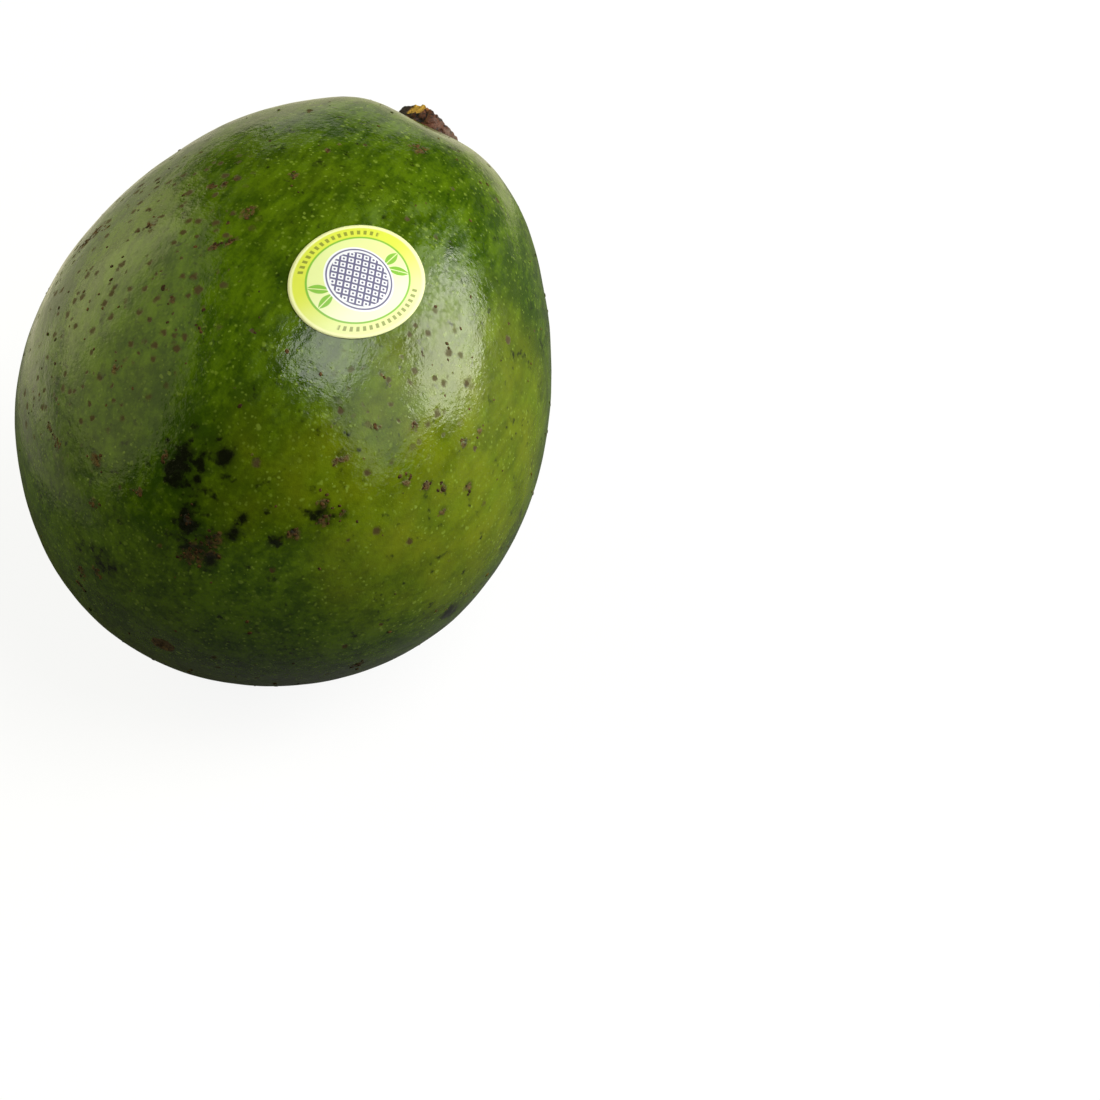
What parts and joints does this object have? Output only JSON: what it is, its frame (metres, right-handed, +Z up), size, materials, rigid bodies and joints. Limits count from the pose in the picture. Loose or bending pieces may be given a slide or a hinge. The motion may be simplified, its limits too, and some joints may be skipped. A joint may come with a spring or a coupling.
{
  "type": "avocado",
  "caption": "Large pear-shaped green-skinned fruit lying on its side on a small flat spot, with a short woody stem stub and an oval paper label.",
  "frame": {"origin": "middle of the underside of the bounding box, on the surface that the fruit lies on", "axes": "+Y along the fruit's long axis as seen from above, towards the stem end, which is raised by 14 degrees; +Z up; +X to the right when the stem end points away"},
  "size_m": [0.1, 0.1198, 0.099],
  "materials": {
    "skin": "waxy satin green skin, lighter speckles and brown corky spots",
    "bark": "dry rough bark with a paler snapped face",
    "label_paper": "coated paper, printed in lime, green and white"
  },
  "bodies": {
    "root": {"fruit": "skin", "stem_stub": "bark", "label": "label_paper"}
  },
  "joints": []
}
